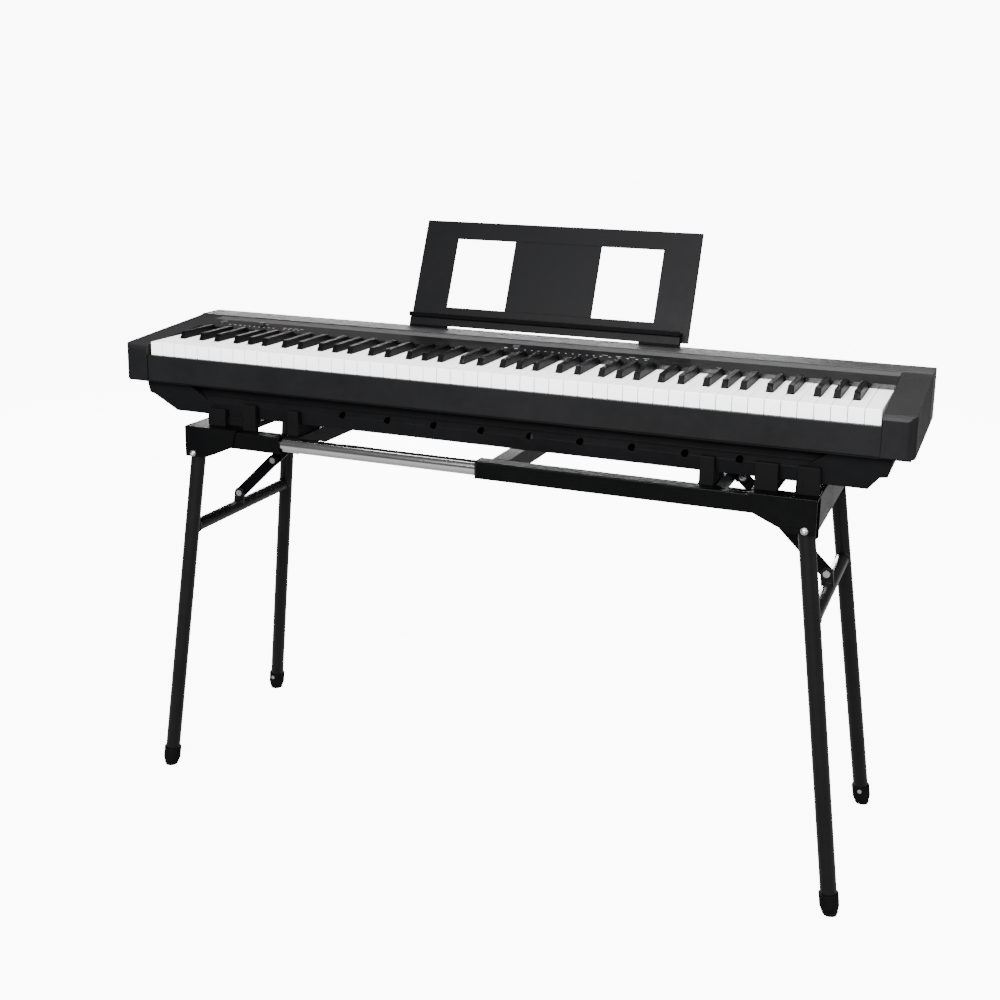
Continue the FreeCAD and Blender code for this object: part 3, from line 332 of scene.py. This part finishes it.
SLOT_LOOKS = {
    "case_black": "case", "panel_gloss": "panel", "key_white": "white_key",
    "key_black": "black_key", "frame_black": "paint", "rubber_black": "rubber",
    "board_green": "board", "inner_grey": "inner", "fastener": "steel", "tube_chrome": "chrome",
    "rest_black": "rest", "speaker_metal": "speaker", "button_black": "button",
    "collar_black": "case",
}
# Some nodes share a slot with others but get a lit or shaded copy of its look: painted shade on the
# lower case and the rest's ledge, painted light on the top cover and the legs.
NODE_LOOKS = {"top_cover": "painted_light_cover", "bottom_case": "painted_shade_lower_case", "music_rest_ledge": "painted_shade_ledge"}
for side in ("left", "right"):
    for piece in ("leg_front", "leg_rear", "leg_brace"):
        NODE_LOOKS[side + "_" + piece] = "painted_light_leg_paint"

WHITE_KEYS = ("white_keys_bass", "white_keys_treble", "key_c4", "key_d4", "key_e4")
BLACK_KEYS = ("black_keys_bass", "black_keys_treble", "key_c_sharp4", "key_d_sharp4")
RAILS = ("outer_rail_front", "outer_rail_rear", "left_rail_front", "left_rail_rear")
SOFT_EDGES = {
    "left_supports": 0.0015, "right_supports": 0.0015, "music_rest_board": 0.0008,
    "key_slip": 0.0010, "music_rest_ledge": 0.0006, "top_cover": 0.0006, "left_head": 0.0005,
    "right_head": 0.0005, "volume_slider": 0.0006, "function_button": 0.0005,
    "middle_cross_member": 0.0012, "right_cross_member": 0.0008, "case_feet": 0.0008,
}
SOFT_EDGES.update(dict.fromkeys(WHITE_KEYS, 0.0007))
SOFT_EDGES.update(dict.fromkeys(BLACK_KEYS, 0.0011))
SOFT_EDGES.update(dict.fromkeys(RAILS, 0.0012))
SAME_PLACE = 0.000005
SHARP_ANGLE = math.radians(38.0)


def round_edges(node, width):
    """Join the vertices the file keeps apart, then ease the sharp edges."""
    weld = node.modifiers.new("join_vertices", "WELD")
    weld.merge_threshold = SAME_PLACE
    bevel = node.modifiers.new("soft_edges", "BEVEL")
    bevel.width = width
    bevel.segments = 2
    bevel.limit_method = "ANGLE"
    bevel.angle_limit = SHARP_ANGLE
    bevel.use_clamp_overlap = False
    bevel.harden_normals = True


def dress_nodes():
    for part in frame["record"]["subparts"]:
        name = part["node"]
        look = NODE_LOOKS.get(name, SLOT_LOOKS[part["material_slot"]])
        NODES[name].data.materials.clear()
        NODES[name].data.materials.append(LOOKS[look])
        if name in SOFT_EDGES:
            round_edges(NODES[name], SOFT_EDGES[name])


dress_nodes()


# ------------------------------------------------------- mesh helpers
def make_piece(name, mesh, look, body, smooth=True):
    """Finish a bmesh as a piece that rides on a body."""
    data = bpy.data.meshes.new(name)
    bmesh.ops.recalc_face_normals(mesh, faces=mesh.faces[:])
    mesh.to_mesh(data)
    mesh.free()
    data.materials.append(LOOKS[look])
    if smooth:
        data.shade_smooth()
    piece = bpy.data.objects.new(name, data)
    bpy.context.collection.objects.link(piece)
    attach(piece, body)
    return piece


def lathe(mesh, centre, axis, profile, steps=32):
    """Turn a profile of (radius, height) pairs round an axis."""
    turn = Vector((0.0, 0.0, 1.0)).rotation_difference(Vector(axis)).to_matrix()
    rings = []
    for radius, height in profile:
        if radius < 1e-7:
            rings.append([mesh.verts.new(Vector(centre) + turn @ Vector((0.0, 0.0, height)))])
            continue
        ring = []
        for i in range(steps):
            angle = 2.0 * math.pi * i / steps
            local = Vector((radius * math.cos(angle), radius * math.sin(angle), height))
            ring.append(mesh.verts.new(Vector(centre) + turn @ local))
        rings.append(ring)
    for low, high in zip(rings, rings[1:]):
        for i in range(steps):
            j = (i + 1) % steps
            if len(low) == 1:
                mesh.faces.new((low[0], high[i], high[j]))
            elif len(high) == 1:
                mesh.faces.new((low[i], low[j], high[0]))
            else:
                mesh.faces.new((low[i], low[j], high[j], high[i]))


def capsule_outline(length, width, steps=6):
    """Closed outline of a bar with round ends, along X."""
    half = max(length - width, 0.0) / 2.0
    points = []
    for side, start in ((1, -90.0), (-1, 90.0)):
        for i in range(steps + 1):
            angle = math.radians(start + 180.0 * i / steps)
            x = side * half + width / 2.0 * math.cos(angle)
            points.append((x, width / 2.0 * math.sin(angle)))
    return points


MARK_TAPER = 0.93


def raised_mark(mesh, place, outline, along, across, up, height):
    """Low raised shape on a surface, its top drawn in a little."""
    low = [mesh.verts.new(place + along * x + across * y) for x, y in outline]
    high = [mesh.verts.new(place + along * x * MARK_TAPER + across * y * MARK_TAPER + up * height)
            for x, y in outline]
    mesh.faces.new(high)
    for i in range(len(outline)):
        j = (i + 1) % len(outline)
        mesh.faces.new((low[i], low[j], high[j], high[i]))


# ------------------------------------------------------- marks on the control panel
PANEL_FRONT_Y = PANEL_BOX[0][1]
PANEL_BACK_Y = PANEL_BOX[1][1]
PANEL_RISE = 0.006 / 0.078          # how much the top climbs over its depth
MARK_LIFT = 0.00003                 # keeps a mark's open underside off the panel
MARK_HEIGHT = 0.00012
PANEL_TOP_FRONT = PANEL_BOX[1][2] - PANEL_RISE * (PANEL_BACK_Y - PANEL_FRONT_Y)
PANEL_UP = Vector((0.0, -PANEL_RISE, 1.0)).normalized()
PANEL_ACROSS = Vector((0.0, 1.0, PANEL_RISE)).normalized()


def on_panel(x, back):
    """Point on the panel's top, a distance behind its front edge."""
    return Vector((x, PANEL_FRONT_Y + back, PANEL_TOP_FRONT + PANEL_RISE * back + MARK_LIFT))


def panel_marks(name, shapes):
    """One mark for each (x, distance back, length, width)."""
    mesh = bmesh.new()
    along = Vector((1.0, 0.0, 0.0))
    for x, back, length, width in shapes:
        raised_mark(mesh, on_panel(x, back), capsule_outline(length, width),
                    along, PANEL_ACROSS, PANEL_UP, MARK_HEIGHT)
    make_piece(name, mesh, "mark", "piano", smooth=False)


def row(x0, x1, count, back, length, width):
    """Equal marks spread from x0 to x1."""
    step = (x1 - x0) / (count - 1)
    return [(x0 + i * step, back, length, width) for i in range(count)]


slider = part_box("volume_slider")
slider_x = (slider[0][0] + slider[1][0]) / 2.0
panel_marks("panel_marks_left", row(slider_x - 0.030, slider_x + 0.030, 7, 0.021, 0.0012, 0.0030)
            + row(slider_x - 0.062, slider_x - 0.040, 3, 0.022, 0.0050, 0.0018)
            + row(slider_x + 0.052, slider_x + 0.082, 4, 0.020, 0.0030, 0.0030)
            + row(slider_x + 0.050, slider_x + 0.084, 4, 0.028, 0.0070, 0.0012)
            + [(slider_x, 0.042, 0.014, 0.0014), (slider_x - 0.085, 0.043, 0.010, 0.0014)])
panel_marks("panel_marks_middle", row(-0.022, -0.004, 2, 0.024, 0.0060, 0.0034)
            + row(0.014, 0.134, 11, 0.020, 0.0034, 0.0018)
            + row(0.146, 0.222, 6, 0.020, 0.0046, 0.0026)
            + row(0.150, 0.220, 4, 0.029, 0.0100, 0.0014))


# ------------------------------------------------------- bolts, welds, nuts and rims
BOLT_RADIUS = 0.0050
SUNK = 0.0001                       # how far a fitted piece reaches into what it sits on
# Shapes of a bolt head, in radii: (radius, height).
DOME = ((1.0, 0.0), (1.0, 0.16), (0.92, 0.34), (0.74, 0.50), (0.50, 0.60), (0.42, 0.60))
SOCKET = ((0.42, 0.60), (0.40, 0.22), (0.0, 0.18))


def domed_bolt(mesh, centre, axis, radius):
    """Button head with a six-sided socket."""
    for shape, steps in ((DOME, 24), (SOCKET, 6)):
        lathe(mesh, centre, axis, [(radius * r, radius * h) for r, h in shape], steps)


def bolt_heads(name, node, body):
    """Domed heads on the outer ends of every cross pin in a node."""
    mesh = bmesh.new()
    for x, y, z, way in pin_ends(node):
        domed_bolt(mesh, (x, y, z), (0.0, way, 0.0), BOLT_RADIUS)
    make_piece(name, mesh, "steel", body)


def loose_solids(node):
    """Boxes of the separate solids in one node, found by walking shared places."""
    data = NODES[node].data
    places = {}
    parent = list(range(len(data.vertices)))

    def root(i):
        while parent[i] != i:
            parent[i] = parent[parent[i]]
            i = parent[i]
        return i

    for vertex in data.vertices:
        key = tuple(round(c * 1e6) for c in vertex.co)
        if key in places:
            parent[root(vertex.index)] = root(places[key])
        places.setdefault(key, vertex.index)
    for face in data.polygons:
        first = root(face.vertices[0])
        for other in face.vertices[1:]:
            parent[root(other)] = first
    groups = {}
    for vertex in data.vertices:
        groups.setdefault(root(vertex.index), []).append(vertex.co)
    boxes = []
    for points in groups.values():
        low = [min(p[i] for p in points) for i in range(3)]
        high = [max(p[i] for p in points) for i in range(3)]
        boxes.append((low, high))
    return sorted(boxes)


def pin_ends(node):
    """The outer ends of every cross pin, each with the way it points along Y."""
    ends = []
    for low, high in loose_solids(node):
        x = (low[0] + high[0]) / 2.0
        z = (low[2] + high[2]) / 2.0
        ends.append((x, low[1] + SUNK, z, -1.0))
        ends.append((x, high[1] - SUNK, z, 1.0))
    return ends


bolt_heads("left_bolt_domes", "left_frame_bolts", "left_frame")
bolt_heads("right_bolt_domes", "right_frame_bolts", "stand_frame")


def weld_bead(mesh, points, radius):
    """Overlapping drops along a line, like a hand-laid weld."""
    for i, point in enumerate(points):
        drop = radius * (1.0 + 0.18 * math.sin(2.7 * i))
        matrix = Matrix.Translation(point) @ Matrix.Diagonal((drop, drop, drop, 1.0))
        bmesh.ops.create_icosphere(mesh, subdivisions=2, radius=1.0, matrix=matrix)


def ring_points(centre, axis, radius, count):
    turn = Vector((0.0, 0.0, 1.0)).rotation_difference(Vector(axis)).to_matrix()
    points = []
    for i in range(count):
        angle = 2.0 * math.pi * i / count
        local = Vector((radius * math.cos(angle), radius * math.sin(angle), 0.0))
        points.append(Vector(centre) + turn @ local)
    return points


BRACE_WELD_RADIUS = 0.0112          # ring round the cross tube
BRACE_WELD_BEAD = 0.0019
BRACE_WELD_DROPS = 26
BRACE_WELD_INSET = 0.0045           # from the tube's end to the leg's surface
BRACE_END_REACH = 0.02


def brace_welds(side):
    """Welds where the cross tube meets the two legs."""
    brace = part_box(side + "_leg_brace")
    data = NODES[side + "_leg_brace"].data
    mesh = bmesh.new()
    for end, inward in ((0, BRACE_WELD_INSET), (1, -BRACE_WELD_INSET)):
        limit = brace[end][1]
        near = [v.co for v in data.vertices if abs(v.co.y - limit) < BRACE_END_REACH]
        x = sum(p.x for p in near) / len(near)
        z = sum(p.z for p in near) / len(near)
        ring = ring_points((x, limit + inward, z), (0.0, 1.0, 0.0),
                           BRACE_WELD_RADIUS, BRACE_WELD_DROPS)
        weld_bead(mesh, ring, BRACE_WELD_BEAD)
    make_piece(side + "_brace_welds", mesh, "weld", side + "_legs")


brace_welds("left")
brace_welds("right")


MEMBER_WELD_OFFSET = 0.0004         # behind the rail's rear wall
MEMBER_WELD_START = 0.002           # above the rail's lower edge
MEMBER_WELD_STEP = 0.0022
MEMBER_WELD_DROPS = 12
MEMBER_WELD_BEAD = 0.0016


def member_welds(name, node):
    """Weld lines up both sides of a cross member where it meets the front rail."""
    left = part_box(node)[0][0]
    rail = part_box("outer_rail_front")
    width = rail[1][2] - rail[0][2]     # the member is cut from the same square tube
    y = rail[1][1] + MEMBER_WELD_OFFSET
    bottom = rail[0][2] + MEMBER_WELD_START
    mesh = bmesh.new()
    for x in (left, left + width):
        points = [Vector((x, y, bottom + i * MEMBER_WELD_STEP)) for i in range(MEMBER_WELD_DROPS)]
        weld_bead(mesh, points, MEMBER_WELD_BEAD)
    make_piece(name, mesh, "weld", "stand_frame")


member_welds("middle_member_welds", "middle_cross_member")
member_welds("right_member_welds", "right_cross_member")

# Section of a jack's nut: (radius, height) from its bore to its outer edge.
NUT_PROFILE = [(0.0036, 0.0), (0.0036, 0.0012), (0.0041, 0.0016), (0.0052, 0.0016),
               (0.0056, 0.0011), (0.0056, 0.0)]


def jack_rings():
    """Thin nuts round the five rear sockets."""
    mesh = bmesh.new()
    for low, high in loose_solids("rear_jacks"):
        centre = ((low[0] + high[0]) / 2.0, high[1] - SUNK, (low[2] + high[2]) / 2.0)
        lathe(mesh, centre, (0.0, 1.0, 0.0), NUT_PROFILE, 28)
    make_piece("jack_nuts", mesh, "steel", "piano")


jack_rings()


SOLE_LEVEL = 0.0005                 # points below this belong to a cap's flat sole
LEG_REACH = 0.05                    # furthest such a point lies from its own leg's middle
CROSS_BOLT_LENGTH = 0.02            # a leg's pivot bolt is longer than this
RIM_HEIGHT = 0.0325                 # up the leg from the sole
# Section of the rolled rim: (radius, height).
RIM_PROFILE = [(0.0146, -0.0014), (0.01515, -0.0010), (0.01525, 0.0), (0.01515, 0.0010),
               (0.0146, 0.0014)]


def foot_rims(side):
    """Rolled rim round the top of each rubber foot cap, square to its leaning leg."""
    data = NODES[side + "_foot_caps"].data
    bolts = [box for box in loose_solids(side + "_frame_bolts")
             if box[1][1] - box[0][1] > CROSS_BOLT_LENGTH]
    mesh = bmesh.new()
    for low, high in loose_solids(side + "_foot_caps"):
        middle_y = (low[1] + high[1]) / 2.0
        sole = [v.co for v in data.vertices
                if v.co.z < SOLE_LEVEL and abs(v.co.y - middle_y) < LEG_REACH]
        foot = Vector((sum(p.x for p in sole), sum(p.y for p in sole), 0.0)) / len(sole)
        near = min(bolts, key=lambda box: abs(box[0][1] - middle_y))
        pivot = Vector([(near[0][i] + near[1][i]) / 2.0 for i in range(3)])
        axis = (pivot - foot).normalized()
        lathe(mesh, foot + axis * RIM_HEIGHT, axis, RIM_PROFILE, 40)
    make_piece(side + "_foot_rims", mesh, "rubber", side + "_legs")


foot_rims("left")
foot_rims("right")


# ------------------------------------------------------- stage, light and camera
WHITE = (1.0, 1.0, 1.0, 1.0)
GLOW_SEEN = 10.0                    # background as the camera sees it
FLOOR_MIRRORED = 0.20               # floor as polished surfaces mirror it
SKY_LIGHT = 0.16


def studio_glow(graph, seen, mirrored):
    """Strength of a white glow as the camera sees it and as polished surfaces mirror it."""
    path = graph.node("ShaderNodeLightPath")
    direct = graph.math("MULTIPLY", path.outputs["Is Camera Ray"], seen)
    reflected = graph.math("MULTIPLY", path.outputs["Is Glossy Ray"], mirrored)
    return graph.math("ADD", direct, reflected)


def studio():
    bpy.ops.mesh.primitive_plane_add(size=40.0, location=(0.0, 0.0, 0.0))
    floor = bpy.context.object
    floor.name = "studio_floor"
    material, graph, shader, _ = blank_material("studio_white")
    shader.inputs["Base Color"].default_value = (0.14, 0.14, 0.14, 1.0)
    shader.inputs["Roughness"].default_value = 0.9
    shader.inputs["Emission Color"].default_value = WHITE
    glow = studio_glow(graph, GLOW_SEEN, FLOOR_MIRRORED)
    graph.link(glow, shader.inputs["Emission Strength"])
    floor.data.materials.append(material)
    world = bpy.data.worlds.new("studio_world")
    world.use_nodes = True
    graph = Graph(world.node_tree)
    sky = world.node_tree.nodes["Background"]
    sky.inputs["Color"].default_value = WHITE
    glow = graph.math("ADD", studio_glow(graph, GLOW_SEEN, 0.0), SKY_LIGHT)
    graph.link(glow, sky.inputs["Strength"])
    bpy.context.scene.world = world


def area_light(name, place, aim, size, power):
    """Soft rectangular light of (width, height) pointed at a place."""
    data = bpy.data.lights.new(name, "AREA")
    data.shape = "RECTANGLE"
    data.size = size[0]
    data.size_y = size[1]
    data.energy = power
    lamp = bpy.data.objects.new(name, data)
    lamp.location = place
    lamp.rotation_euler = (Vector(aim) - Vector(place)).to_track_quat("-Z", "Y").to_euler()
    bpy.context.collection.objects.link(lamp)


CAMERA_PLACE = (0.8001, -2.0614, 1.1785)
CAMERA_YAW = math.radians(21.93)
CAMERA_PITCH = math.radians(12.25)
CAMERA_ROLL = math.radians(0.88)


def camera():
    """Above the right end, looking down and to the left, with a slight roll."""
    data = bpy.data.cameras.new("main_camera")
    data.sensor_width = 36.0
    data.lens = 48.48
    data.shift_y = -0.10
    data.clip_start = 0.05
    data.clip_end = 100.0
    eye = bpy.data.objects.new("main_camera", data)
    flat = math.cos(CAMERA_PITCH)
    forward = Vector((-math.sin(CAMERA_YAW) * flat, math.cos(CAMERA_YAW) * flat,
                      -math.sin(CAMERA_PITCH)))
    level = Vector((math.cos(CAMERA_YAW), math.sin(CAMERA_YAW), 0.0))
    upright = level.cross(forward)
    right = math.cos(CAMERA_ROLL) * level + math.sin(CAMERA_ROLL) * upright
    up = -math.sin(CAMERA_ROLL) * level + math.cos(CAMERA_ROLL) * upright
    turn = Matrix((right, up, -forward)).transposed()
    eye.matrix_world = Matrix.Translation(CAMERA_PLACE) @ turn.to_4x4()
    bpy.context.collection.objects.link(eye)
    bpy.context.scene.camera = eye


studio()
area_light("front_light", (0.2, -3.4, 2.6), (0.0, 0.0, 0.7), (2.6, 1.6), 720.0)
area_light("side_light", (3.4, -0.6, 1.5), (0.6, 0.0, 0.75), (1.4, 1.4), 90.0)
area_light("rear_light", (-1.3, 3.2, 0.62), (0.0, 0.1, 0.80), (2.6, 0.8), 260.0)
area_light("top_light", (-0.2, 0.9, 3.2), (0.0, 0.1, 0.8), (3.4, 2.0), 230.0)
camera()
